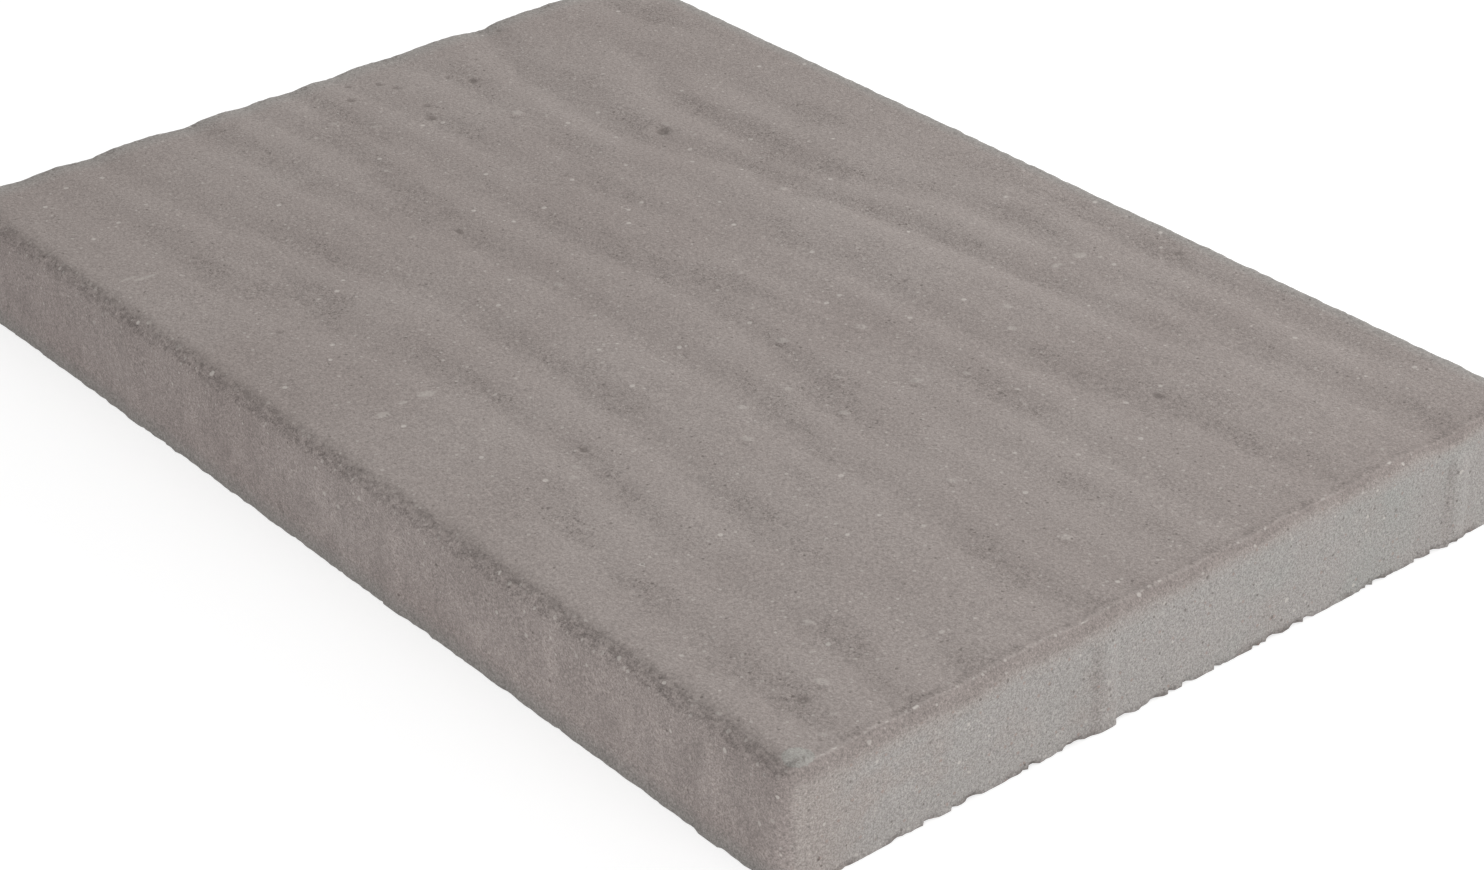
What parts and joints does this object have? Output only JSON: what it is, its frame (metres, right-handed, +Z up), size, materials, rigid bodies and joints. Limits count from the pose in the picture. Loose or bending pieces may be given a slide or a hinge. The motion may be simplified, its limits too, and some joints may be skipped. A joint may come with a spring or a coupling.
{
  "type": "concrete paving slab",
  "caption": "Rectangular concrete paving slab with a rippled, stone-like top face, a worn top edge and small spacer nibs on its edge faces.",
  "frame": {"origin": "middle of the underside, on the ground the slab lies on", "axes": "+X along the long side, +Y along the short side, +Z up out of the walking face"},
  "size_m": [0.604, 0.404, 0.052],
  "materials": {
    "concrete": "matte, fine sandy grain"
  },
  "bodies": {
    "root": {"slab": "concrete"}
  },
  "joints": []
}
